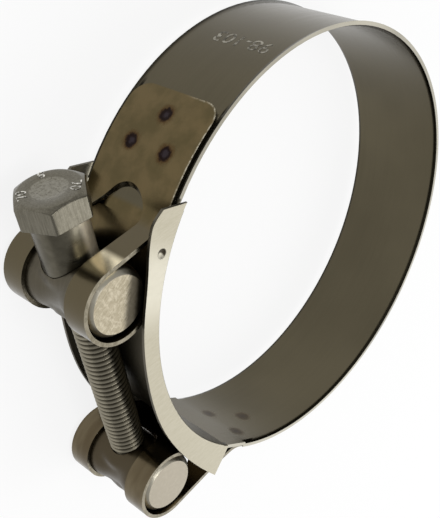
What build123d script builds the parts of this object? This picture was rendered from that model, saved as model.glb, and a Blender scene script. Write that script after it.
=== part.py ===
from build123d import *
import os
from math import acos, atan2, cos, degrees, hypot, radians, sin, tan

# Bolt hose clamp, open, lying on its side. Millimetres. The hose bore runs along Z through the origin,
# mid-width. The closure is at -Y, the bolt runs along X with its head at -X.
# Places around the ring are angles from -Y, counted outwards towards the head end or the tail end.

# Hose bore and strip
hose_radius = 49.75
band_width = 24.5
strap = 0.85
lip_width = 1.1
lip_rise = 0.45

# Bridge under the bolt
bridge_thickness = 0.7
bridge_clearance = 0.05
bridge_bend_radius = 0.45
edge_tolerance = 0.01
bridge_side_gap = 0.6
bridge_head_angle = 44.8
bridge_tail_angle = 42.2
web_head_inset = 8.8
web_tail_inset = 1.2

# Flange height above the hose bore, by angle from the head end to the tail end
flange_heights = [
    (-bridge_head_angle, 5.6),
    (-37.5, 6.6),
    (-28.5, 4.7),
    (-17.0, 4.1),
    (-2.0, 4.1),
    (12.0, 4.8),
    (26.0, 5.6),
    (bridge_tail_angle, 7.8),
]
stake_angle = 33.2
stake_height = 2.5
stake_radius = 1.1
stake_depth = 0.35

# Cross pins and their place
pin_radius = 7.45
pin_inset = 0.25
pin_chamfer = 1.1
head_pin_angle = 23.0
tail_pin_angle = 29.5
pin_clearance = 0.05
thread_radius = 4.0
thread_to_bridge = 0.15

# Folded ends of the strip
fold_width = 22.6
fold_corner = 4.0
leg_bend_radius = 6.0
leg_margin = 0.3
head_fold_end = 63.3
tail_fold_end = 72.0
step_angle = 4.0
step_margin = 0.8
slot_width = 13.0
slot_past_pin = 5.6
head_slot_rise = 17.5
tail_slot_rise = 14.0
slot_corner = 4.0

# Spot welds, three at each end
weld_radius = 1.6
weld_depth = 0.12
weld_spread = 4.75
head_weld_angles = (49.6, 57.5)
tail_weld_angles = (55.0, 64.3)
tail_weld_shift = 2.4

# Bolt, sleeve and the holes for them
head_underside = 14.7
hex_flats = 13.0
hex_height = 5.3
hex_turn = 45.0
hex_chamfer_angle = 30.0
hex_face_ratio = 0.92
head_mark_radius = 4.3
head_mark_depth = 0.12
bolt_length = 75.0
bolt_tip_chamfer = 1.0
nut_running_clearance = 0.05
pin_hole_clearance = 0.35
sleeve_radius = 5.5
sleeve_wall = 1.2
sleeve_seat = 5.0
sleeve_seat_clearance = 0.15
sleeve_chamfer = 0.4

# Worked out from the sizes above
half_width = band_width / 2
bridge_outer = hose_radius + bridge_thickness
ring_radius = hose_radius + strap / 2
seat_radius = bridge_outer + bridge_clearance + strap / 2
wrap_radius = pin_radius + pin_clearance + strap / 2
bolt_offset = bridge_outer + thread_radius + thread_to_bridge
pin_length = band_width - 2 * pin_inset
head_pin_x = bolt_offset * tan(radians(head_pin_angle))
tail_pin_x = bolt_offset * tan(radians(tail_pin_angle))
flange_inner = half_width + bridge_side_gap
flange_outer = flange_inner + bridge_thickness
slot_reach = 2 * pin_radius + slot_width


def at(radius, angle):
    """Point at an angle from -Y, counted towards +X."""
    return (radius * sin(radians(angle)), -radius * cos(radians(angle)))


def towards(centre, radius, direction):
    """Point at a distance and direction (degrees from +X) from a centre."""
    return (centre[0] + radius * cos(radians(direction)), centre[1] + radius * sin(radians(direction)))


def radial_plane(angle):
    """Plane through the bore axis, with its x pointing out at an angle from -Y and its y along the bore."""
    back = (-cos(radians(angle)), -sin(radians(angle)), 0)
    return Plane(origin=(0, 0, 0), x_dir=(*at(1, angle), 0), z_dir=back)


def crossing_normal(centre, radius, other, other_radius, side):
    """Direction from a circle to its touching point on the tangent that crosses over to another circle."""
    gap = hypot(other[0] - centre[0], other[1] - centre[1])
    bearing = degrees(atan2(other[1] - centre[1], other[0] - centre[0]))
    return bearing + side * degrees(acos((radius + other_radius) / gap))


def lift_angle(pin_x, path_radius):
    """Angle at which the strip leaves its round path in a straight line to the underside of a pin."""
    reach = hypot(pin_x, bolt_offset)
    return degrees(atan2(pin_x, bolt_offset) + acos((path_radius + wrap_radius) / reach))


# The head end steps up onto the bridge, and the tail end leaves the ring straight over the bridge's end
step_start = bridge_head_angle - web_head_inset + step_margin
head_join = step_start + step_angle
tail_join = lift_angle(tail_pin_x, ring_radius)
head_leg_angle = head_join + leg_margin
tail_leg_angle = tail_join + leg_margin


def loop_half(pin_x, path_radius, leg_start, join):
    """Strip from the ring over the bridge and around the pin, up to where the leg starts."""
    pin = (pin_x, -bolt_offset)
    lift = lift_angle(pin_x, path_radius)
    under = lift + 90
    with BuildPart() as loop:
        with BuildSketch(Plane.XY.offset(-half_width)):
            with BuildLine():
                if path_radius > ring_radius:
                    Line(at(ring_radius, join), at(path_radius, join - step_angle))
                    CenterArc((0, 0), path_radius, join - step_angle - 90, lift - join + step_angle)
                else:
                    CenterArc((0, 0), ring_radius, join + leg_margin - 90, -leg_margin)
                Line(at(path_radius, lift), towards(pin, wrap_radius, under))
                CenterArc(pin, wrap_radius, under, (leg_start - under) % 360)
                offset(amount=strap / 2, side=Side.BOTH)
            make_face()
        extrude(amount=band_width)
        # Slot for the bolt on the gap side of the pin
        with BuildSketch(Plane.YZ.offset(pin_x)):
            with Locations((pin[1] + slot_past_pin - slot_reach / 2, 0)):
                RectangleRounded(slot_reach, slot_width, slot_corner)
        extrude(amount=slot_reach, both=True, mode=Mode.SUBTRACT)
    return loop.part


def outer_half(pin_x, leg_angle, leg_start, fold_end, slot_rise):
    """Leg from the pin down to the ring, and the outer layer that is spot welded onto the ring."""
    pin = (pin_x, -bolt_offset)
    outer_radius = ring_radius + strap
    bend = at(outer_radius + leg_bend_radius, leg_angle)
    landing = leg_angle + 90
    with BuildPart() as outer:
        with BuildSketch(Plane.XY.offset(-half_width)):
            with BuildLine():
                Line(towards(pin, wrap_radius, leg_start), towards(bend, leg_bend_radius, leg_start + 180))
                CenterArc(bend, leg_bend_radius, leg_start + 180, landing - leg_start - 180)
                CenterArc((0, 0), outer_radius, leg_angle - 90, fold_end - leg_angle)
                offset(amount=strap / 2, side=Side.BOTH)
            make_face()
        extrude(amount=band_width)
        # The leg tapers to the narrower outer layer, which ends in round corners
        with BuildSketch(Plane.YZ):
            with BuildLine():
                Polyline(
                    (pin[1] - slot_reach, half_width),
                    (pin[1], half_width),
                    (pin[1] + slot_rise, fold_width / 2),
                    (0, fold_width / 2),
                    (0, band_width),
                    (pin[1] - slot_reach, band_width),
                    close=True,
                )
            make_face()
            mirror(about=Plane.XZ)
        extrude(amount=hose_radius * 2, mode=Mode.SUBTRACT)
        along = (cos(radians(fold_end)), sin(radians(fold_end)), 0)
        end_plane = Plane(origin=(0, 0, 0), x_dir=along, z_dir=(*at(1, fold_end), 0))
        with BuildSketch(end_plane):
            Rectangle(2 * fold_corner, band_width)
            with Locations((-2 * fold_corner, 0)):
                RectangleRounded(4 * fold_corner, fold_width, fold_corner, mode=Mode.SUBTRACT)
        extrude(amount=hose_radius * 2, mode=Mode.SUBTRACT)
        # Slot for the bolt and its sleeve
        with BuildSketch(Plane.YZ.offset(pin_x)):
            with Locations((pin[1] + slot_rise - slot_reach, 0)):
                SlotOverall(2 * slot_reach, slot_width)
        extrude(amount=slot_reach, mode=Mode.SUBTRACT)
    return outer.part


def folded_end(pin_x, path_radius, join, leg_angle, fold_end, slot_rise):
    """One end of the strip, on the +X side."""
    pin = (pin_x, -bolt_offset)
    bend = at(ring_radius + strap + leg_bend_radius, leg_angle)
    leg_start = crossing_normal(pin, wrap_radius, bend, leg_bend_radius, -1)
    with BuildPart() as end:
        add(loop_half(pin_x, path_radius, leg_start, join))
        add(outer_half(pin_x, leg_angle, leg_start, fold_end, slot_rise))
    return end.part


def ring(head_join, tail_join):
    """Round part of the strip, with both edges turned outwards."""
    with BuildPart() as round_band:
        with BuildSketch(radial_plane(tail_join)):
            with BuildLine():
                lip = [(hose_radius + lip_rise, half_width), (hose_radius, half_width - lip_width)]
                inside = [(radius, -side) for radius, side in lip]
                inside += reversed(lip)
                outside = [(radius + strap, side) for radius, side in reversed(inside)]
                Polyline(*inside, *outside, close=True)
            make_face()
        revolve(axis=Axis.Z, revolution_arc=360 - head_join - tail_join)
    return round_band.part


def weld_marks(spot_radius, angles, shift=0.0):
    """Shallow round marks of three spot welds, as balls to cut with, on the +X side."""
    ball_radius = (weld_radius**2 + weld_depth**2) / (2 * weld_depth)
    pair_angle, single_angle = angles
    spots = [(pair_angle, weld_spread), (pair_angle, -weld_spread), (single_angle, 0)]
    centres = [(*at(spot_radius + ball_radius - weld_depth, angle), z + shift) for angle, z in spots]
    with BuildPart() as marks:
        with Locations(*centres):
            Sphere(ball_radius)
    return marks.part


def flange_outline(side_offset):
    """One turned-out edge of the bridge, seen along the bore."""
    tips = [at(hose_radius + height, angle) for angle, height in flange_heights]
    head_corner = at(hose_radius, -bridge_head_angle)
    tail_corner = at(hose_radius, bridge_tail_angle)
    with BuildPart() as flange:
        with BuildSketch(Plane.XY.offset(side_offset)):
            with BuildLine():
                Spline(*tips)
                Line(tips[-1], tail_corner)
                ThreePointArc(tail_corner, at(hose_radius, 0), head_corner)
                Line(head_corner, tips[0])
            make_face()
        extrude(amount=bridge_thickness)
    return flange.part


fold_surface = ring_radius + 1.5 * strap
with BuildPart() as band:
    add(ring(head_join, tail_join))
    add(folded_end(tail_pin_x, ring_radius, tail_join, tail_leg_angle, tail_fold_end, tail_slot_rise))
    mirror(
        folded_end(head_pin_x, seat_radius, head_join, head_leg_angle, head_fold_end, head_slot_rise),
        about=Plane.YZ,
    )
    add(weld_marks(fold_surface, tail_weld_angles, tail_weld_shift), mode=Mode.SUBTRACT)
    mirror(weld_marks(fold_surface, head_weld_angles), about=Plane.YZ, mode=Mode.SUBTRACT)
band.part.label = "band"

# Bridge: a curved web between the hose and the strip ends, with both edges turned outwards
with BuildPart() as bridge:
    with BuildSketch(radial_plane(web_head_inset - bridge_head_angle)):
        with Locations((hose_radius + bridge_thickness / 2, 0)):
            Rectangle(bridge_thickness, 2 * flange_outer)
    web_arc = bridge_head_angle - web_head_inset + bridge_tail_angle - web_tail_inset
    revolve(axis=Axis.Z, revolution_arc=web_arc)
    add(flange_outline(flange_inner))
    add(flange_outline(-flange_outer))
    # Bends between the web and its edges
    rounds = bridge.edges().filter_by(GeomType.CIRCLE)
    inner_rounds = rounds.filter_by(lambda edge: abs(edge.radius - hose_radius) < edge_tolerance)
    corners = inner_rounds.filter_by(lambda edge: abs(edge.center().Z) > flange_outer - edge_tolerance)
    fillet(corners, bridge_bend_radius)
    # Stake that pinches each edge onto the strip
    stake_ball = (stake_radius**2 + stake_depth**2) / (2 * stake_depth)
    stake_rise = flange_outer + stake_ball - stake_depth
    stake_place = at(hose_radius + stake_height, -stake_angle)
    with Locations((*stake_place, stake_rise), (*stake_place, -stake_rise)):
        Sphere(stake_ball, mode=Mode.SUBTRACT)
bridge.part.label = "bridge"

# Cross pin under the bolt head, with a clearance hole and a round seat for the sleeve
head_pin_centre = (-head_pin_x, -bolt_offset, 0)
with BuildPart() as head_trunnion:
    with Locations(head_pin_centre):
        Cylinder(pin_radius, pin_length)
    chamfer(head_trunnion.edges().filter_by(GeomType.CIRCLE), pin_chamfer)
    with Locations(Plane(origin=(-head_pin_x - pin_radius, -bolt_offset, 0), z_dir=(-1, 0, 0))):
        CounterBoreHole(
            radius=thread_radius + pin_hole_clearance,
            counter_bore_radius=sleeve_radius + sleeve_seat_clearance,
            counter_bore_depth=pin_radius - sleeve_seat,
        )
head_trunnion.part.label = "head_trunnion"

# Cross pin with the thread for the bolt
with BuildPart() as nut_trunnion:
    with Locations((tail_pin_x, -bolt_offset, 0)):
        Cylinder(pin_radius, pin_length)
    chamfer(nut_trunnion.edges().filter_by(GeomType.CIRCLE), pin_chamfer)
    with Locations(Plane(origin=(tail_pin_x, -bolt_offset, 0), z_dir=(-1, 0, 0))):
        Hole(thread_radius + nut_running_clearance)
nut_trunnion.part.label = "nut_trunnion"

# Bolt
underside = -head_pin_x - head_underside
with BuildPart() as bolt:
    with BuildSketch(Plane(origin=(underside, -bolt_offset, 0), x_dir=(0, 0, 1), z_dir=(-1, 0, 0))):
        RegularPolygon(hex_flats / 2, 6, major_radius=False, rotation=-hex_turn)
    extrude(amount=hex_height)
    # Round chamfer on the corners of the head
    with BuildSketch(Plane(origin=(underside, -bolt_offset, 0), x_dir=(-1, 0, 0), z_dir=(0, 0, 1))):
        with BuildLine():
            face_radius = hex_flats / 2 * hex_face_ratio
            reach = hex_flats
            drop = (reach - face_radius) * sin(radians(hex_chamfer_angle)) / cos(radians(hex_chamfer_angle))
            Polyline(
                (0, 0), (hex_height, 0), (hex_height, face_radius), (hex_height - drop, reach), (0, reach),
                close=True,
            )
        make_face()
    revolve(axis=Axis((0, -bolt_offset, 0), (1, 0, 0)), mode=Mode.INTERSECT)
    with BuildSketch(Plane(origin=(underside - hex_height, -bolt_offset, 0), z_dir=(-1, 0, 0))):
        Circle(head_mark_radius)
    extrude(amount=-head_mark_depth, mode=Mode.SUBTRACT)
    with BuildSketch(Plane(origin=(underside, -bolt_offset, 0), z_dir=(1, 0, 0))):
        Circle(thread_radius)
    extrude(amount=bolt_length)
    chamfer(bolt.faces().sort_by(Axis.X)[-1].edges(), bolt_tip_chamfer)
bolt.part.label = "bolt"

# Smooth sleeve between the bolt head and the head pin
with BuildPart() as spacer_sleeve:
    with BuildSketch(Plane(origin=(underside, -bolt_offset, 0), z_dir=(1, 0, 0))):
        Circle(sleeve_radius)
        Circle(sleeve_radius - sleeve_wall, mode=Mode.SUBTRACT)
    extrude(amount=head_underside - sleeve_seat)
    chamfer(spacer_sleeve.edges().filter_by(GeomType.CIRCLE).sort_by(Axis.X)[0:2], sleeve_chamfer)
spacer_sleeve.part.label = "spacer_sleeve"

os.makedirs("parts", exist_ok=True)
export_step(band.part, "parts/band.step")
export_step(bridge.part, "parts/bridge.step")
export_step(head_trunnion.part, "parts/head_trunnion.step")
export_step(nut_trunnion.part, "parts/nut_trunnion.step")
export_step(bolt.part, "parts/bolt.step")
export_step(spacer_sleeve.part, "parts/spacer_sleeve.step")
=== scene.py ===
import math

import bmesh
import bpy
from mathutils import Euler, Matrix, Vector


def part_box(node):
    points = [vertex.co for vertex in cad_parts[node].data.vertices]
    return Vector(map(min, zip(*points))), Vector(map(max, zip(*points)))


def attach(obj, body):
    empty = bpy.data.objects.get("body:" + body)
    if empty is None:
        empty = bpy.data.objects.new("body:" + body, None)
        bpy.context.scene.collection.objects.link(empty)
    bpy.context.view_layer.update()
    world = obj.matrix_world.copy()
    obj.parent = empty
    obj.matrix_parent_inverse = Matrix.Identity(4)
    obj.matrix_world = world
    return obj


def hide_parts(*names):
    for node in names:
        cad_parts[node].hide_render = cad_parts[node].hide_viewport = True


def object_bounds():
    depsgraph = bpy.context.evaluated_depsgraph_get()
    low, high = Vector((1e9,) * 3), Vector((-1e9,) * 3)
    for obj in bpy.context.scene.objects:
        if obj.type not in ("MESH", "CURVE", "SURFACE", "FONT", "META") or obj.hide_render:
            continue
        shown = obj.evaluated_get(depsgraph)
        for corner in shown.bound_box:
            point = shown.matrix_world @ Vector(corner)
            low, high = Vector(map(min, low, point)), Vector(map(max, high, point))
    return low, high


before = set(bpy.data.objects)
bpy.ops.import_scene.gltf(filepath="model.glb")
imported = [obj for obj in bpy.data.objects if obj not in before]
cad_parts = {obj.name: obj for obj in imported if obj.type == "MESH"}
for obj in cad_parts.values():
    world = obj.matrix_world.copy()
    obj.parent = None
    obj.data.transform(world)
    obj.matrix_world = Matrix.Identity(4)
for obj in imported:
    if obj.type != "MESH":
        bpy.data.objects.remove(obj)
cad_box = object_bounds()

# Lengths below are millimetres, and MM turns them into metres
MM = 0.001
FLOOR_Z = min(point[2] for point in cad_box)

# Camera at the photograph's viewing angle, looking down on the clamp where it lies
IMAGE_SIZE = (440, 518)
FOCAL_PX = 863.3
CENTRE_PX = (210.7, 312.5)
CAMERA_PLACE = (-124.13, -118.98, 116.16)
CAMERA_TURN = (-33.68, -45.75, 78.71)
SENSOR_WIDTH = 36.0

# Lamps: name, place in metres, width in metres and power in watts
LAMPS = [
    ("back_softbox", (0.50, 0.42, 0.50), 1.0, 4.6),
    ("top_softbox", (-0.25, -0.15, 0.95), 0.5, 2.4),
]
# Strength of the white surroundings, as light on the clamp and as the camera sees them
WORLD_LIGHT = 0.5
WORLD_SEEN = 1.0
FLOOR_SIZE = 6.0
FLOOR_WHITE_SHARE = 0.85

# Sizes of the clamp that the finish follows
HOSE_RADIUS = 49.75
STRAP = 0.85
HALF_WIDTH = 12.25
BOLT_AXIS_Y = -54.6
HEAD_PIN_X = -23.18
NUT_PIN_X = 30.89
HEAD_WELDS = [(-52.1, 4.75), (-52.1, -4.75), (-60.0, 0.0)]
TAIL_WELDS = [(55.0, 7.15), (55.0, -2.35), (64.3, 2.4)]

# Angles below are degrees round the bore from the closure, outwards to the tail side
# Tone of the strip from 0 to 1, and how far slow swells and fine rolling lines move it
STRIP_TONE = 0.44
STRIP_SWELL = 0.06
STRIP_LINES = 0.025

# The head end's welded layer: its end round the strip, half its width and its rounded corners
FOLD_END = 57.13
FOLD_HALF_WIDTH = 11.3
FOLD_CORNER = 4.0
# How far that layer reaches past the plain solid's, in degrees, and where the shift starts and stops
FOLD_SHIFT = 2.5
FOLD_SHIFT_START = (43.5, 50.5)
FOLD_SHIFT_STOP = (67, 80)

# Slanted head end of the bridge's turned-out edges: where it starts, its shift in degrees and its height
SLANT_ANGLES = (35.5, 44.8)
SLANT_SHIFT = 2.9
SLANT_HEIGHT = 5.6
# The stake's dent in the near edge, and the middle of its lit side
STAKE = (-28.61, -43.72)
STAKE_SHINE = (-27.95, -44.35)

# Two ends of each change of tone on the steel, in millimetres, or in degrees round the bore
TAIL_TINT_X = (5.0, 20.0)
HEAD_SIDE_X = (5.0, -5.0)
TAIL_SIDE_X = (-5.0, 5.0)
WELD_RIM_EDGE = (1.2, 2.6)
WELD_RING_EDGE = (1.15, 1.7)
WELD_CORE_EDGE = (0.3, 1.0)
# Where the painted highlight round the welded layer's end lies
TRIM_OUTER = (FOLD_CORNER - 0.40, FOLD_CORNER - 0.15)
TRIM_HEIGHT = (1.0, 10.0)
# Where the painted highlight on the bend into the near eye lies
BEND_HIGHLIGHT_X = (-29.8, -31.2)
BEND_HIGHLIGHT_LOW_Y = (-57.5, -55.8)
BEND_HIGHLIGHT_HIGH_Y = (-50.5, -52.5)
BEND_HIGHLIGHT_HEIGHT = (5.5, 7.5)
# Where the painted shade in the gap beside the welded layer lies
GROOVE_INNER = (10.9, 11.1)
GROOVE_OUTER = (11.75, 11.5)
GROOVE_END = (68.0, 65.0)
LIP_EDGE = (HALF_WIDTH - 1.15, HALF_WIDTH - 0.9)
BRIGHT_EDGE_START = (-38.0, -29.0)
BRIGHT_EDGE_STOP = (-13.0, -24.0)
STAKE_RIM = (1.15, 0.9)
STAKE_SHINE_RIM = (0.85, 1.15)
# Where the painted shade on the head pin's face begins and where it is full
PIN_SHADE_RADIUS = (58.4, 56.6)
THREADED_X = (HEAD_PIN_X - 8, HEAD_PIN_X - 4)
HEAD_FACE_X = (HEAD_PIN_X - 19, HEAD_PIN_X - 20)
HEAD_MIDDLE_RADIUS = (3.7, 3.4)

# Points of the CAD meshes closer than this are merged, and faces flatter than this angle are joined
MERGE_DISTANCE = 0.002
FLAT_ANGLE = 0.5
# Widths of the small bevels on sharp edges, and the angles in degrees from which an edge counts as sharp
BAND_BEVEL = 0.17
BRIDGE_BEVEL = 0.10
PIN_BEVEL = 0.12
SLEEVE_BEVEL = 0.10
HEAD_BEVEL = 0.16
BEVEL_ANGLE = 30
HEAD_BEVEL_ANGLE = 28

# Cross pins: narrower inside the eyes and at the waist, as shares of the radius, by height from mid-width
PIN_STEP = 9.5
PIN_STEP_LENGTH = 1.4
PIN_END_SHARE = 0.06
WAIST_HEIGHTS = (1.0, 6.0)
WAIST_SHARE = 0.14
# The waist keeps clear of the bolt and the sleeve's seat
WAIST_FROM_BOLT = (5.8, 7.2)
PIN_CUTS = (-PIN_STEP, -6, -4.5, -3, -1.5, 0, 1.5, 3, 4.5, 6, PIN_STEP)

# M8 bolt
THREAD_RADIUS = 4.0
THREAD_PITCH = 1.25
THREAD_DEPTH = 0.767
# One turn of the thread: share of the pitch, and height over the thread's crest
THREAD_PROFILE = [
    (0.0, 0.0), (0.0625, 0.04), (0.125, 0.0), (0.4375, -THREAD_DEPTH), (0.5625, -THREAD_DEPTH - 0.04),
    (0.6875, -THREAD_DEPTH),
]
THREAD_COLUMNS = 48
PLAIN_SHANK_TURNS = 4
TIP_CHAMFER = 1.0
HEX_FLATS = 13.0
HEX_TURN = 53.5
HEAD_HEIGHT = 5.3
# The head stands this much further out than the plain solid's, as in the photograph
HEAD_OUT = 1.3
# The sleeve's outer end, beyond this place, moves out with the head
SLEEVE_STRETCH_X = HEAD_PIN_X - 10
HEAD_CHAMFER_ANGLE = 30.0
HEAD_COLUMNS = 144
HEAD_FACE_RADIUS = 5.98
# The head's face with its shallow recess: radius, and depth under the face
HEAD_FACE = [(0.02, 0.12), (2.0, 0.13), (3.3, 0.12), (3.6, 0.0), (5.2, 0.0), (HEAD_FACE_RADIUS, 0.0)]

# Plain numbers on the head and the strip. Each head mark has its name, its text and its bearing in degrees
HEAD_MARK_RADIUS = 4.85
HEAD_MARKS = [
    ("head_mark_left", "70", 210.0),
    ("head_mark_right", "70", 48.0),
    ("head_mark_top", "8", 292.0),
]
HEAD_MARK_SIZE = 2.9
HEAD_MARK_THICKNESS = 0.12
STAMP_TEXT = "98-103"
STAMP_SIZE = 5.2
STAMP_THICKNESS = 0.05
STAMP_ANGLE = -85.2
STAMP_HEIGHT = 1.4

# Colours of the strip, in linear light
STRIP_DARK = (0.026, 0.022, 0.013)
STRIP_LIGHT = (0.199, 0.172, 0.113)
HEAD_TINT_DARK = (0.100, 0.077, 0.035)
HEAD_TINT_LIGHT = (0.142, 0.105, 0.050)
TAIL_TINT_DARK = (0.100, 0.076, 0.044)
TAIL_TINT_LIGHT = (0.156, 0.126, 0.078)
EYE_TINT = (0.112, 0.092, 0.055)
WELD_RIM = (0.075, 0.042, 0.016)
WELD_RING = (0.014, 0.008, 0.007)
WELD_CORE = (0.034, 0.026, 0.030)
# Painted highlight round the welded layer's end
TRIM_HIGHLIGHT = (0.50, 0.46, 0.36)
# Painted highlight on the bend into the head end's near eye
BEND_HIGHLIGHT = (0.92, 0.82, 0.58)
# Painted shade in the gap beside the welded layer
GROOVE_SHADE = (0.010, 0.008, 0.005)
# Painted highlight on the edges' rounded corners
CORNER_HIGHLIGHT = (0.42, 0.39, 0.31)
SHEARED_DARK = (0.085, 0.075, 0.052)
SHEARED_LIGHT = (0.17, 0.152, 0.115)
# Painted shade on the lips' slopes
LIP_SLOPE_SHADE = (0.032, 0.028, 0.019)
LIP_DARK = (0.140, 0.131, 0.106)
LIP_LIGHT = (0.240, 0.226, 0.186)

# Colours of the bridge and the cross pins
BRIDGE_WALL_DARK = (0.095, 0.086, 0.064)
BRIDGE_WALL_LIGHT = (0.130, 0.118, 0.090)
BRIDGE_EDGE_DARK = (0.27, 0.25, 0.19)
BRIDGE_EDGE_LIGHT = (0.36, 0.335, 0.265)
BRIDGE_EDGE_BRIGHT = (0.45, 0.43, 0.36)
STAKE_SHADE = (0.045, 0.038, 0.026)
PIN_SIDE_DARK = (0.075, 0.066, 0.048)
PIN_SIDE_LIGHT = (0.125, 0.110, 0.080)
PIN_SIDE_TAIL = (0.074, 0.059, 0.037)
PIN_FACE_DARK = (0.18, 0.157, 0.108)
PIN_FACE_LIGHT = (0.27, 0.237, 0.17)
PIN_FACE_WORN = (0.35, 0.315, 0.24)
PIN_FACE_TAIL = (0.225, 0.203, 0.163)
PIN_CHAMFER = (0.46, 0.43, 0.35)
# Painted shade on the head pin's face beside the bridge
PIN_PAINTED_SHADE = (0.022, 0.018, 0.012)

# Colours of the bolt, the sleeve and the stamped numbers
BOLT_DARK = (0.125, 0.115, 0.088)
BOLT_LIGHT = (0.180, 0.167, 0.132)
# Painted shade in the thread roots, and painted highlight on the crests
THREAD_ROOT_SHADE = (0.045, 0.039, 0.027)
THREAD_CREST_HIGHLIGHT = (0.28, 0.255, 0.195)
HEAD_MIDDLE = (0.27, 0.255, 0.21)
SLEEVE_DARK = (0.140, 0.128, 0.095)
SLEEVE_LIGHT = (0.215, 0.197, 0.150)
# Painted shade on the sleeve's outer side, and painted highlight on the side away from the floor
SLEEVE_SIDE_SHADE = (0.062, 0.056, 0.041)
SLEEVE_HIGHLIGHT = (0.88, 0.79, 0.62)
STAMP_DARK = (0.07, 0.062, 0.045)
STRIP_STAMP_BRIGHT = (0.34, 0.32, 0.265)
HEAD_STAMP_BRIGHT = (0.85, 0.83, 0.76)


def add_camera():
    """Camera whose lens and shift come from the photograph's focal length and centre in pixels."""
    width, height = IMAGE_SIZE
    data = bpy.data.cameras.new("camera")
    data.sensor_width = SENSOR_WIDTH
    data.lens = FOCAL_PX / height * data.sensor_width
    data.shift_x = (width / 2 - CENTRE_PX[0]) / height
    data.shift_y = (CENTRE_PX[1] - height / 2) / height
    data.clip_start = 0.001
    camera = bpy.data.objects.new("camera", data)
    camera.location = [value * MM for value in CAMERA_PLACE]
    camera.rotation_euler = Euler([math.radians(value) for value in CAMERA_TURN])
    bpy.context.collection.objects.link(camera)
    bpy.context.scene.camera = camera


class Finish:
    """A material and short names for the nodes that build it. Positions are in millimetres."""

    def __init__(self, name):
        self.material = bpy.data.materials.new(name)
        self.material.use_nodes = True
        self.tree = self.material.node_tree
        self.tree.nodes.clear()
        self.output = self.tree.nodes.new("ShaderNodeOutputMaterial")

    def node(self, kind, **settings):
        made = self.tree.nodes.new(kind)
        for name, value in settings.items():
            setattr(made, name, value)
        return made

    def feed(self, socket, value):
        if isinstance(value, bpy.types.NodeSocket):
            self.tree.links.new(value, socket)
        else:
            socket.default_value = value

    def math(self, operation, first, second=0.0):
        made = self.node("ShaderNodeMath", operation=operation)
        self.feed(made.inputs[0], first)
        self.feed(made.inputs[1], second)
        return made.outputs[0]

    def total(self, *values):
        result = values[0]
        for value in values[1:]:
            result = self.math("ADD", result, value)
        return result

    def product(self, *values):
        result = values[0]
        for value in values[1:]:
            result = self.math("MULTIPLY", result, value)
        return result

    def place(self):
        """Position on the object in millimetres, as three numbers."""
        coordinates = self.node("ShaderNodeTexCoord")
        scaled = self.node("ShaderNodeVectorMath", operation="SCALE")
        self.feed(scaled.inputs[0], coordinates.outputs["Object"])
        scaled.inputs["Scale"].default_value = 1 / MM
        parts = self.node("ShaderNodeSeparateXYZ")
        self.feed(parts.inputs[0], scaled.outputs[0])
        return parts.outputs

    def vector(self, x, y, z):
        made = self.node("ShaderNodeCombineXYZ")
        for socket, value in zip(made.inputs, (x, y, z)):
            self.feed(socket, value)
        return made.outputs[0]

    def hypotenuse(self, x, y):
        """Length from two sides, such as the distance from the bore's axis."""
        return self.math("SQRT", self.total(self.product(x, x), self.product(y, y)))

    def closure_angle(self, x, y):
        """Radians round the bore from the closure, outwards to the tail side."""
        return self.math("ARCTAN2", x, self.math("MULTIPLY", y, -1.0))

    def normal(self):
        """The three parts of the surface's direction, on the object."""
        parts = self.node("ShaderNodeSeparateXYZ")
        self.feed(parts.inputs[0], self.node("ShaderNodeTexCoord").outputs["Normal"])
        return parts.outputs

    def distance(self, first, second):
        made = self.node("ShaderNodeVectorMath", operation="DISTANCE")
        self.feed(made.inputs[0], first)
        self.feed(made.inputs[1], second)
        return made.outputs["Value"]

    def step(self, value, low, high, from_value=0.0, to_value=1.0):
        """Smooth change from from_value at low to to_value at high."""
        made = self.node("ShaderNodeMapRange", interpolation_type="SMOOTHSTEP")
        for socket, number in zip(made.inputs, (value, low, high, from_value, to_value)):
            self.feed(socket, number)
        return made.outputs[0]

    def layer_step(self, radius, low, high, from_value=0.0, to_value=1.0):
        """Step by distance outside the hose bore, with low and high in thicknesses of the strip."""
        return self.step(radius, HOSE_RADIUS + low * STRAP, HOSE_RADIUS + high * STRAP, from_value, to_value)

    def noise(self, position, scale, detail=4.0, roughness=0.55):
        made = self.node("ShaderNodeTexNoise")
        self.feed(made.inputs["Vector"], position)
        made.inputs["Scale"].default_value = scale
        made.inputs["Detail"].default_value = detail
        made.inputs["Roughness"].default_value = roughness
        return made.outputs[0]

    def mix(self, share, first, second):
        """Colour that goes from first to second as share goes from 0 to 1."""
        made = self.node("ShaderNodeMix", data_type="RGBA", clamp_factor=True)
        self.feed(made.inputs["Factor"], share)
        for socket, value in zip(made.inputs[6:8], (first, second)):
            self.feed(socket, value if isinstance(value, bpy.types.NodeSocket) else (*value, 1))
        return made.outputs[2]

    def metal(self, colour, roughness, height=None, depth=0.01):
        """Steel shader. height is relief from 0 to 1, and depth its size in millimetres."""
        shader = self.node("ShaderNodeBsdfPrincipled")
        self.feed(shader.inputs["Base Color"], colour)
        shader.inputs["Metallic"].default_value = 1.0
        self.feed(shader.inputs["Roughness"], roughness)
        if height is not None:
            bump = self.node("ShaderNodeBump")
            bump.inputs["Strength"].default_value = 1.0
            bump.inputs["Distance"].default_value = depth * MM
            self.feed(bump.inputs["Height"], height)
            self.feed(shader.inputs["Normal"], bump.outputs[0])
        self.feed(self.output.inputs[0], shader.outputs[0])
        return self.material


def facing_up(finish):
    """How far the surface faces along the bore, from 0 on the walls to 1 on the sheared edges."""
    return finish.math("ABSOLUTE", finish.normal()[2])


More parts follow.
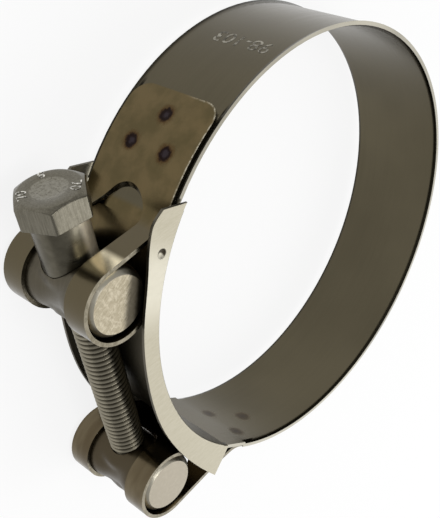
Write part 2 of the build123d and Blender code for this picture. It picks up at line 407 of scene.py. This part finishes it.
class StripPlace:
    """Where a point of the strip lies, and the steel's own grain there, as shader values."""

    def __init__(self, finish):
        self.x, self.y, self.z = finish.place()
        self.radius = finish.hypotenuse(self.x, self.y)
        angle = finish.closure_angle(self.x, self.y)
        self.along = finish.math("MULTIPLY", angle, HOSE_RADIUS)
        self.degrees = finish.math("MULTIPLY", angle, math.degrees(1))
        self.beside = finish.math("ABSOLUTE", self.z)
        # From 0 to 1: outside is full on the strip's outer face, and folded on the second layer and the eyes
        self.outside = finish.layer_step(self.radius, 0.4, 0.6)
        self.folded = finish.layer_step(self.radius, 1.1, 1.4)
        # Rolling lines run along the strip
        drawn_out = finish.vector(finish.math("MULTIPLY", self.along, 0.02), self.z, self.radius)
        unrolled = finish.vector(self.along, self.z, self.radius)
        self.rolled = finish.noise(drawn_out, 2.6, 5.0, 0.6)
        self.slow = finish.noise(finish.vector(self.x, self.y, self.z), 0.035, 2.0, 0.5)
        self.grain = finish.noise(unrolled, 1.1, 6.0, 0.7)


def strip_colour(finish, strip):
    """Rolled steel, uneven in slow swells and fine rolling lines."""
    tone = finish.total(
        STRIP_TONE,
        finish.step(strip.slow, 0.3, 0.7, -STRIP_SWELL, STRIP_SWELL),
        finish.step(strip.rolled, 0.3, 0.7, -STRIP_LINES, STRIP_LINES),
    )
    return finish.mix(tone, STRIP_DARK, STRIP_LIGHT)


def heat_tint(finish, strip, colour):
    """Warm tint on the folded ends, which were heated by welding. The eyes are greyer."""
    patch = finish.noise(finish.vector(strip.along, strip.z, 0.0), 0.16, 3.0, 0.6)
    blotch = finish.step(patch, 0.35, 0.65)
    head_tint = finish.mix(blotch, HEAD_TINT_DARK, HEAD_TINT_LIGHT)
    tail_tint = finish.mix(blotch, TAIL_TINT_DARK, TAIL_TINT_LIGHT)
    tint = finish.mix(finish.step(strip.x, *TAIL_TINT_X), head_tint, tail_tint)
    eye = finish.layer_step(strip.radius, 2.3, 5.0)
    tint = finish.mix(finish.product(eye, finish.step(strip.x, *HEAD_SIDE_X)), tint, EYE_TINT)
    return finish.mix(finish.product(strip.folded, 0.92), colour, tint)


def weld_spots(finish, strip, colour):
    """Weld spots with a blue-black centre and a brown rim. Gives the colour and the rim's mask."""
    scale = finish.math("DIVIDE", HOSE_RADIUS, strip.radius)
    flat = finish.vector(finish.product(strip.x, scale), finish.product(strip.y, scale), strip.z)
    nearest = HOSE_RADIUS
    for weld_angle, side in HEAD_WELDS + TAIL_WELDS:
        turn = math.radians(weld_angle)
        centre = (HOSE_RADIUS * math.sin(turn), -HOSE_RADIUS * math.cos(turn), side)
        nearest = finish.math("MINIMUM", nearest, finish.distance(flat, centre))
    wobble = finish.total(nearest, finish.step(strip.grain, 0.2, 0.8, -0.35, 0.35))
    rim = finish.step(wobble, *WELD_RIM_EDGE, 1.0, 0.0)
    ring = finish.step(wobble, *WELD_RING_EDGE, 1.0, 0.0)
    core = finish.step(wobble, *WELD_CORE_EDGE, 1.0, 0.0)
    # Fainter on the inside of the ring
    strength = finish.layer_step(strip.radius, 0.3, 0.7, 0.35, 1.0)
    for mask, weld_colour in ((rim, WELD_RIM), (ring, WELD_RING), (core, WELD_CORE)):
        colour = finish.mix(finish.product(mask, strength), colour, weld_colour)
    return colour, rim


def trim_highlight(finish, strip, colour):
    """Painted highlight: a broken line round the end of the head end's welded layer."""
    past_end = finish.math("SUBTRACT", finish.math("MULTIPLY", strip.along, -1.0), FOLD_END - FOLD_CORNER)
    past_end = finish.math("MAXIMUM", past_end, 0.0)
    past_side = finish.math("SUBTRACT", strip.beside, FOLD_HALF_WIDTH - FOLD_CORNER)
    past_side = finish.math("MAXIMUM", past_side, 0.0)
    from_middle = finish.hypotenuse(past_end, past_side)
    line = finish.product(
        finish.step(from_middle, *TRIM_OUTER),
        finish.step(strip.z, *TRIM_HEIGHT),
        strip.folded,
        finish.layer_step(strip.radius, 2.6, 2.2),
        finish.step(strip.grain, 0.42, 0.58, 0.15, 0.9),
    )
    return finish.mix(line, colour, TRIM_HIGHLIGHT)


def bend_highlight(finish, strip, colour):
    """Painted highlight where the strip bends into the near eye of the head end."""
    spot = finish.product(
        finish.step(strip.x, *BEND_HIGHLIGHT_X),
        finish.step(strip.y, *BEND_HIGHLIGHT_LOW_Y),
        finish.step(strip.y, *BEND_HIGHLIGHT_HIGH_Y),
        finish.step(strip.z, *BEND_HIGHLIGHT_HEIGHT),
    )
    return finish.mix(spot, colour, BEND_HIGHLIGHT)


def groove_shade(finish, strip, colour):
    """Painted shade in the gap between the welded layer and the turned-out lip."""
    groove = finish.product(
        finish.step(strip.beside, *GROOVE_INNER),
        finish.step(strip.beside, *GROOVE_OUTER),
        strip.outside,
        finish.layer_step(strip.radius, 1.5, 1.3),
        finish.step(finish.math("ABSOLUTE", strip.degrees), *GROOVE_END),
        finish.step(strip.grain, 0.25, 0.5, 0.6, 1.0),
    )
    return finish.mix(groove, colour, GROOVE_SHADE)


def strip_edges(finish, strip, colour):
    """Sheared edges that are dull between two corners with a painted highlight, painted shade on the lips'
    slopes, and brighter turned-out lips.
    """
    up = facing_up(finish)
    # Painted highlight on the rounded corners of the edges
    colour = finish.mix(finish.step(up, 0.10, 0.40), colour, CORNER_HIGHLIGHT)
    sheared = finish.mix(finish.step(strip.grain, 0.3, 0.7), SHEARED_DARK, SHEARED_LIGHT)
    colour = finish.mix(finish.step(up, 0.86, 0.96), colour, sheared)
    at_edge = finish.step(strip.beside, *LIP_EDGE)
    lip = finish.product(at_edge, finish.layer_step(strip.radius, 1.7, 1.5))
    # Painted shade on the lips' slopes
    colour = finish.mix(finish.product(lip, finish.step(up, 0.05, 0.25)), colour, LIP_SLOPE_SHADE)
    lip_colour = finish.mix(finish.step(strip.slow, 0.3, 0.7), LIP_DARK, LIP_LIGHT)
    return finish.mix(finish.product(lip, finish.step(up, 0.60, 0.90)), colour, lip_colour)


def band_steel():
    """Rolled stainless strip of a dull olive grey, with heat tint round the welds."""
    finish = Finish("band_steel")
    strip = StripPlace(finish)
    colour = strip_colour(finish, strip)
    colour = heat_tint(finish, strip, colour)
    colour, weld_rim = weld_spots(finish, strip, colour)
    colour = trim_highlight(finish, strip, colour)
    colour = bend_highlight(finish, strip, colour)
    colour = groove_shade(finish, strip, colour)
    colour = strip_edges(finish, strip, colour)
    rolled_roughness = finish.step(strip.rolled, 0.25, 0.75, 0.20, 0.27)
    roughness = finish.total(rolled_roughness, finish.product(weld_rim, 0.15))
    relief = finish.total(finish.product(strip.rolled, 0.5), finish.product(strip.grain, 0.5))
    return finish.metal(colour, roughness, relief, 0.004)


def bridge_steel():
    """Pale matte steel with fine brushing across the turned edge."""
    finish = Finish("bridge_steel")
    x, y, z = finish.place()
    brushed = finish.noise(finish.vector(x, finish.math("MULTIPLY", y, 0.15), z), 3.5, 5.0, 0.65)
    cloud = finish.noise(finish.vector(x, y, z), 0.10, 3.0, 0.5)
    wall = finish.mix(finish.step(cloud, 0.3, 0.7), BRIDGE_WALL_DARK, BRIDGE_WALL_LIGHT)
    edge = finish.mix(finish.step(brushed, 0.25, 0.75), BRIDGE_EDGE_DARK, BRIDGE_EDGE_LIGHT)
    # Brighter below the stake, duller towards both ends
    degrees = finish.math("MULTIPLY", finish.closure_angle(x, y), math.degrees(1))
    start = finish.step(degrees, *BRIGHT_EDGE_START)
    bright = finish.product(start, finish.step(degrees, *BRIGHT_EDGE_STOP), 0.8)
    edge = finish.mix(bright, edge, BRIDGE_EDGE_BRIGHT)
    # Painted shade on the upper side of the stake's dent
    flat = finish.vector(x, y, 0.0)
    in_dent = finish.step(finish.distance(flat, (*STAKE, 0.0)), *STAKE_RIM)
    off_shine = finish.step(finish.distance(flat, (*STAKE_SHINE, 0.0)), *STAKE_SHINE_RIM)
    edge = finish.mix(finish.product(in_dent, off_shine), edge, STAKE_SHADE)
    colour = finish.mix(finish.step(facing_up(finish), 0.35, 0.85), wall, edge)
    return finish.metal(colour, finish.step(brushed, 0.2, 0.8, 0.38, 0.5), brushed, 0.02)


def pin_steel():
    """Turned cross pins: brushed, worn ends with a bright chamfer, and satin sides."""
    finish = Finish("pin_steel")
    x, y, z = finish.place()
    across = finish.total(x, finish.math("MULTIPLY", y, 0.6))
    brushed = finish.noise(finish.vector(across, finish.math("MULTIPLY", y, 0.12), z), 3.0, 5.0, 0.65)
    rings = finish.vector(finish.math("MULTIPLY", x, 0.05), finish.math("MULTIPLY", y, 0.05), z)
    turned_lines = finish.noise(rings, 4.0)
    worn = finish.noise(finish.vector(x, y, z), 1.3, 5.0, 0.7)
    tail = finish.step(x, *TAIL_SIDE_X)
    side = finish.mix(turned_lines, PIN_SIDE_DARK, PIN_SIDE_LIGHT)
    side = finish.mix(tail, side, PIN_SIDE_TAIL)
    face = finish.mix(finish.step(brushed, 0.3, 0.7), PIN_FACE_DARK, PIN_FACE_LIGHT)
    face = finish.mix(finish.step(worn, 0.45, 0.65, 0.0, 0.7), face, PIN_FACE_WORN)
    face = finish.mix(finish.product(tail, 0.8), face, PIN_FACE_TAIL)
    up = facing_up(finish)
    colour = finish.mix(finish.step(up, 0.3, 0.6), side, PIN_CHAMFER)
    colour = finish.mix(finish.step(up, 0.85, 0.98), colour, face)
    # Painted shade where the head pin is close to the bridge
    edge = finish.total(finish.hypotenuse(x, y), finish.step(brushed, 0.2, 0.8, -0.4, 0.4))
    painted_shade = finish.product(finish.step(edge, *PIN_SHADE_RADIUS), finish.step(x, *HEAD_SIDE_X), 0.85)
    colour = finish.mix(painted_shade, colour, PIN_PAINTED_SHADE)
    return finish.metal(colour, finish.step(brushed, 0.2, 0.8, 0.28, 0.42), brushed, 0.012)


def bolt_steel():
    """Satin bolt steel: drawn lines along the head's flats, grainy stamped middle."""
    finish = Finish("bolt_steel")
    x, y, z = finish.place()
    drawn = finish.noise(finish.vector(finish.math("MULTIPLY", x, 0.08), y, z), 3.2, 4.0, 0.6)
    grain = finish.noise(finish.vector(x, y, z), 1.6, 5.0, 0.7)
    colour = finish.mix(finish.step(drawn, 0.3, 0.7), BOLT_DARK, BOLT_LIGHT)
    # Painted shade in the thread roots and painted highlights on the crests, past the plain shank
    from_axis = finish.distance(finish.vector(0.0, y, z), (0.0, BOLT_AXIS_Y, 0.0))
    crest = finish.step(from_axis, THREAD_RADIUS - 0.55, THREAD_RADIUS - 0.05)
    thread = finish.mix(crest, THREAD_ROOT_SHADE, THREAD_CREST_HIGHLIGHT)
    shank = finish.step(from_axis, THREAD_RADIUS + 0.2, THREAD_RADIUS + 0.1)
    threaded = finish.step(x, *THREADED_X)
    colour = finish.mix(finish.product(shank, threaded), colour, thread)
    # Grainy middle of the head's face
    at_head = finish.step(x, *HEAD_FACE_X)
    middle = finish.product(finish.step(from_axis, *HEAD_MIDDLE_RADIUS), at_head)
    colour = finish.mix(finish.product(middle, finish.step(grain, 0.35, 0.6)), colour, HEAD_MIDDLE)
    relief = finish.total(
        finish.product(drawn, 0.35),
        finish.product(grain, 0.25),
        finish.product(grain, middle, 1.5),
    )
    return finish.metal(colour, finish.step(grain, 0.2, 0.8, 0.24, 0.36), relief, 0.03)


def sleeve_steel():
    """Smooth drawn tube with faint rings from turning."""
    finish = Finish("sleeve_steel")
    x, y, z = finish.place()
    flattened = finish.vector(x, finish.math("MULTIPLY", y, 0.05), finish.math("MULTIPLY", z, 0.05))
    rings = finish.noise(flattened, 3.0)
    cloud = finish.noise(finish.vector(x, y, z), 0.5, 4.0, 0.6)
    colour = finish.mix(finish.step(cloud, 0.3, 0.7), SLEEVE_DARK, SLEEVE_LIGHT)
    # Painted shade on the outer side, and a painted highlight on the side away from the floor
    normal = finish.normal()
    colour = finish.mix(finish.step(normal[1], -0.2, -0.7, 0.0, 0.6), colour, SLEEVE_SIDE_SHADE)
    highlight_side = finish.product(finish.step(normal[2], 0.4, 0.8), finish.step(normal[1], 0.0, 0.3))
    # Patches of painted highlight on that side
    worn = finish.product(highlight_side, finish.step(cloud, 0.2, 0.6, 0.7, 1.0))
    colour = finish.mix(worn, colour, SLEEVE_HIGHLIGHT)
    roughness = finish.total(finish.step(rings, 0.2, 0.8, 0.26, 0.34), finish.product(highlight_side, 0.25))
    return finish.metal(colour, roughness, rings, 0.01)


def stamped_steel(name, bright):
    """Bright, broken strokes of a steel stamp."""
    finish = Finish(name)
    x, y, z = finish.place()
    broken = finish.noise(finish.vector(x, y, z), 1.3, 3.0, 0.7)
    colour = finish.mix(finish.step(broken, 0.40, 0.60), STAMP_DARK, bright)
    return finish.metal(colour, 0.3)


def floor_material():
    """Pale floor: white to the camera and in reflections, with the object's shadow left on it."""
    finish = Finish("floor")
    plain = finish.node("ShaderNodeBsdfDiffuse")
    plain.inputs["Color"].default_value = (0.9, 0.9, 0.9, 1)
    white = finish.node("ShaderNodeEmission")
    white.inputs["Color"].default_value = (1, 1, 1, 1)
    white.inputs["Strength"].default_value = 1.0
    path = finish.node("ShaderNodeLightPath")
    seen = finish.math("MAXIMUM", path.outputs["Is Camera Ray"], path.outputs["Is Glossy Ray"])
    seen = finish.math("MAXIMUM", seen, path.outputs["Is Transmission Ray"])
    blend = finish.node("ShaderNodeMixShader")
    finish.feed(blend.inputs[0], finish.math("MULTIPLY", seen, FLOOR_WHITE_SHARE))
    finish.feed(blend.inputs[1], plain.outputs[0])
    finish.feed(blend.inputs[2], white.outputs[0])
    finish.feed(finish.output.inputs[0], blend.outputs[0])
    return finish.material


def add_floor():
    bpy.ops.mesh.primitive_plane_add(size=FLOOR_SIZE, location=(0, 0, FLOOR_Z))
    floor = bpy.context.object
    floor.name = "floor"
    floor.data.materials.append(floor_material())


def add_lamp(name, place, size, power):
    data = bpy.data.lights.new(name, "AREA")
    data.shape = "DISK"
    data.size = size
    data.energy = power
    lamp = bpy.data.objects.new(name, data)
    lamp.location = place
    lamp.rotation_euler = Vector(place).to_track_quat("Z", "Y").to_euler()
    bpy.context.collection.objects.link(lamp)


def set_world():
    """White surroundings, weaker as light on the clamp than the camera sees them."""
    world = bpy.data.worlds.new("studio")
    world.use_nodes = True
    background = world.node_tree.nodes["Background"]
    background.inputs[0].default_value = (1, 1, 1, 1)
    path = world.node_tree.nodes.new("ShaderNodeLightPath")
    strength = world.node_tree.nodes.new("ShaderNodeMapRange")
    strength.inputs["To Min"].default_value = WORLD_LIGHT
    strength.inputs["To Max"].default_value = WORLD_SEEN
    world.node_tree.links.new(path.outputs["Is Camera Ray"], strength.inputs["Value"])
    world.node_tree.links.new(strength.outputs[0], background.inputs[1])
    bpy.context.scene.world = world


def ease(value, low, high):
    """Smooth step from 0 at low to 1 at high."""
    share = min(max((value - low) / (high - low), 0.0), 1.0)
    return share * share * (3 - 2 * share)


def turned(point, degrees):
    """Point turned round the bore, in degrees outwards towards the tail side."""
    turn = math.radians(degrees)
    x = point.x * math.cos(turn) - point.y * math.sin(turn)
    y = point.x * math.sin(turn) + point.y * math.cos(turn)
    return Vector((x, y, point.z))


def closure_angle(point):
    """Degrees round the bore from the closure, outwards to the tail side."""
    return math.degrees(math.atan2(point.x, -point.y))


def longer_fold(point):
    """The head end's outer layer, with its welds, reaches a little further round than the plain solid's."""
    angle = -closure_angle(point)
    return turned(point, -FOLD_SHIFT * ease(angle, *FOLD_SHIFT_START) * (1 - ease(angle, *FOLD_SHIFT_STOP)))


def slanted_end(point):
    """The head end of each turned-out edge is cut at a slant."""
    height = math.hypot(point.x, point.y) / MM - HOSE_RADIUS
    share = ease(-closure_angle(point), *SLANT_ANGLES) * min(max(height / SLANT_HEIGHT, 0.0), 1.0)
    return turned(point, SLANT_SHIFT * share)


def longer_sleeve(point):
    """The sleeve reaches out to the head."""
    if point.x < SLEEVE_STRETCH_X * MM:
        return Vector((point.x - HEAD_OUT * MM, point.y, point.z))
    return point


def narrower_pin(point):
    """The cross pins are narrower at both ends, inside the eyes, and at their waist clear of the bolt."""
    axis = Vector((HEAD_PIN_X if point.x < 0 else NUT_PIN_X, BOLT_AXIS_Y, 0)) * MM
    height = abs(point.z) / MM
    from_bolt = math.hypot(point.y - axis.y, point.z) / MM
    end = ease(height, PIN_STEP, PIN_STEP + PIN_STEP_LENGTH)
    waist = (1 - ease(height, *WAIST_HEIGHTS)) * ease(from_bolt, *WAIST_FROM_BOLT)
    out = Vector((point.x - axis.x, point.y - axis.y, 0))
    return point - out * (PIN_END_SHARE * end + WAIST_SHARE * waist)


def round_edges(piece, width, angle):
    """Small bevel on edges sharper than an angle in degrees."""
    bevel = piece.modifiers.new("edges", "BEVEL")
    bevel.width = width * MM
    bevel.segments = 2
    bevel.limit_method = "ANGLE"
    bevel.angle_limit = math.radians(angle)
    piece.modifiers.new("normals", "WEIGHTED_NORMAL")


def softened_copy(node, body, material, width, reshape, cuts=()):
    """Copy of a CAD node with small bevels on its sharp edges, so that they catch the light.

    reshape moves each point. cuts are heights at which faces are first divided, so that they can bend there.
    """
    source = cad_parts[node]
    mesh = source.data.copy()
    mesh.materials.clear()
    mesh.materials.append(material)
    piece = bpy.data.objects.new(node + "_finished", mesh)
    bpy.context.collection.objects.link(piece)
    if mesh.has_custom_normals:
        with bpy.context.temp_override(object=piece, active_object=piece):
            bpy.ops.mesh.customdata_custom_splitnormals_clear()
    shape = bmesh.new()
    shape.from_mesh(mesh)
    bmesh.ops.remove_doubles(shape, verts=shape.verts, dist=MERGE_DISTANCE * MM)
    bmesh.ops.dissolve_limit(
        shape, angle_limit=math.radians(FLAT_ANGLE), verts=shape.verts, edges=shape.edges, delimit=set()
    )
    for height in cuts:
        everything = list(shape.verts) + list(shape.edges) + list(shape.faces)
        bmesh.ops.bisect_plane(shape, geom=everything, plane_co=(0, 0, height * MM), plane_no=(0, 0, 1))
    for face in shape.faces:
        face.smooth = True
    for vertex in shape.verts:
        vertex.co = reshape(vertex.co)
    shape.to_mesh(mesh)
    shape.free()
    round_edges(piece, width, BEVEL_ANGLE)
    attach(piece, body)
    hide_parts(node)


def add_piece(name, points, faces, material, body, node):
    """Piece from points in metres, riding on a body and standing for a CAD node."""
    mesh = bpy.data.meshes.new(name)
    mesh.from_pydata(points, [], faces)
    mesh.materials.append(material)
    mesh.shade_smooth()
    piece = bpy.data.objects.new(name, mesh)
    bpy.context.collection.objects.link(piece)
    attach(piece, body)
    if node:
        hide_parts(node)
    return piece


def on_bolt(x, radius, turn):
    """Point in metres beside the bolt's axis. turn is radians round +X from +Y."""
    return (x * MM, (BOLT_AXIS_Y + radius * math.cos(turn)) * MM, radius * math.sin(turn) * MM)


def strip_faces(rows, columns):
    """Faces of a closed tube whose points are stored row after row."""
    faces = []
    for row in range(rows - 1):
        for column in range(columns):
            following = (column + 1) % columns
            low, high = row * columns, (row + 1) * columns
            faces.append((low + column, high + column, high + following, low + following))
    return faces


def add_bolt_head(material):
    """Hexagon head with a round chamfer and a shallow round recess, worked out from the CAD bolt's box."""
    top_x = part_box("bolt")[0][0] / MM - HEAD_OUT
    under_x = top_x + HEAD_HEIGHT
    half_flats = HEX_FLATS / 2
    columns = HEAD_COLUMNS
    slope = math.tan(math.radians(HEAD_CHAMFER_ANGLE))
    turns = [2 * math.pi * column / columns for column in range(columns)]

    def hexagon(turn):
        side = (turn + math.radians(HEX_TURN)) % (math.pi / 3) - math.pi / 6
        return half_flats / math.cos(side)

    rows = []
    for radius, depth in HEAD_FACE:
        rows.append([on_bolt(top_x + depth, radius, turn) for turn in turns])
    for share in (0.25, 0.5, 0.75, 1.0):
        row = []
        for turn in turns:
            radius = HEAD_FACE_RADIUS + share * (hexagon(turn) - HEAD_FACE_RADIUS)
            row.append(on_bolt(top_x + slope * (radius - HEAD_FACE_RADIUS), radius, turn))
        rows.append(row)
    rows.append([on_bolt(under_x, hexagon(turn), turn) for turn in turns])
    rows.append([on_bolt(under_x, THREAD_RADIUS, turn) for turn in turns])
    points = [point for row in rows for point in row]
    faces = strip_faces(len(rows), columns)
    faces.append(tuple(range(columns)))
    faces.append(tuple(reversed(range(len(points) - columns, len(points)))))
    piece = add_piece("bolt_head", points, faces, material, "bolt", "bolt")
    round_edges(piece, HEAD_BEVEL, HEAD_BEVEL_ANGLE)


def add_bolt_thread(material):
    """Shank and right-hand thread as one helical tube, clipped to its two ends."""
    low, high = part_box("bolt")
    start_x = low[0] / MM + HEAD_HEIGHT - HEAD_OUT
    end_x = high[0] / MM
    root_radius = THREAD_RADIUS - THREAD_DEPTH
    thread_start = HEAD_PIN_X - PLAIN_SHANK_TURNS * THREAD_PITCH
    columns = THREAD_COLUMNS
    turns = math.ceil((end_x - thread_start) / THREAD_PITCH) + 1
    points = []
    for coil in range(turns):
        for share, rise in THREAD_PROFILE:
            for column in range(columns):
                part = column / columns
                x = thread_start + THREAD_PITCH * (coil + share + part - 1)
                fade = min(max((x - thread_start) / (2 * THREAD_PITCH), 0.0), 1.0)
                radius = THREAD_RADIUS + rise * fade
                x = start_x if coil == 0 and share == 0 else min(max(x, thread_start), end_x)
                radius = min(radius, max(root_radius, THREAD_RADIUS - (x - end_x + TIP_CHAMFER)))
                points.append(on_bolt(x, radius, 2 * math.pi * part))
    faces = []
    per_coil = len(THREAD_PROFILE)
    for row in range(turns * per_coil - 1):
        for column in range(columns):
            if column < columns - 1:
                near, far = row * columns + column, row * columns + column + 1
                faces.append((near, near + columns, far + columns, far))
            elif row + 1 + per_coil < turns * per_coil:
                near, far = row * columns + column, (row + per_coil) * columns
                faces.append((near, near + columns, far + columns, far))
    add_piece("bolt_thread", points, faces, material, "bolt", "bolt")


def flat_letters(text, size, thickness):
    """Mesh points and faces of plain numbers lying flat, centred, in millimetres."""
    curve = bpy.data.curves.new(text, "FONT")
    curve.body = text
    curve.size = size
    curve.align_x = "CENTER"
    curve.align_y = "CENTER"
    curve.extrude = thickness / 2
    curve.resolution_u = 3
    holder = bpy.data.objects.new(text, curve)
    bpy.context.collection.objects.link(holder)
    bpy.context.view_layer.update()
    mesh = bpy.data.meshes.new_from_object(holder.evaluated_get(bpy.context.evaluated_depsgraph_get()))
    points = [vertex.co.copy() for vertex in mesh.vertices]
    faces = [tuple(face.vertices) for face in mesh.polygons]
    bpy.data.objects.remove(holder)
    return points, faces


def add_size_stamp(material):
    """Plain hose size stamped across the strip."""
    letters, faces = flat_letters(STAMP_TEXT, STAMP_SIZE, STAMP_THICKNESS)
    outside = HOSE_RADIUS + STRAP
    points = []
    for letter in letters:
        turn = math.radians(STAMP_ANGLE) + letter.y / outside
        radius = outside + letter.z
        place = (radius * math.sin(turn), -radius * math.cos(turn), STAMP_HEIGHT - letter.x)
        points.append([value * MM for value in place])
    piece = add_piece("size_stamp", points, faces, material, "clamp", None)
    piece.data.shade_flat()


def add_head_marks(material):
    """Plain numbers raised round the head's face."""
    top_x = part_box("bolt")[0][0] / MM - HEAD_OUT
    for name, text, bearing in HEAD_MARKS:
        letters, faces = flat_letters(text, HEAD_MARK_SIZE, HEAD_MARK_THICKNESS)
        points = []
        for letter in letters:
            radius = HEAD_MARK_RADIUS + letter.y
            turn = math.radians(bearing) + letter.x / HEAD_MARK_RADIUS
            points.append(on_bolt(top_x - letter.z, radius, turn))
        piece = add_piece(name, points, faces, material, "bolt", None)
        piece.data.shade_flat()


band_finish = band_steel()
bridge_finish = bridge_steel()
pin_finish = pin_steel()
bolt_finish = bolt_steel()
sleeve_finish = sleeve_steel()
softened_copy("band", "clamp", band_finish, BAND_BEVEL, longer_fold)
softened_copy("bridge", "clamp", bridge_finish, BRIDGE_BEVEL, slanted_end)
softened_copy("head_trunnion", "clamp", pin_finish, PIN_BEVEL, narrower_pin, PIN_CUTS)
softened_copy("nut_trunnion", "clamp", pin_finish, PIN_BEVEL, narrower_pin, PIN_CUTS)
softened_copy("spacer_sleeve", "sleeve", sleeve_finish, SLEEVE_BEVEL, longer_sleeve)
add_bolt_head(bolt_finish)
add_bolt_thread(bolt_finish)
add_size_stamp(stamped_steel("strip_stamp", STRIP_STAMP_BRIGHT))
add_head_marks(stamped_steel("head_stamp", HEAD_STAMP_BRIGHT))

add_camera()
add_floor()
set_world()
for lamp in LAMPS:
    add_lamp(*lamp)
bpy.context.scene.view_settings.view_transform = "Standard"
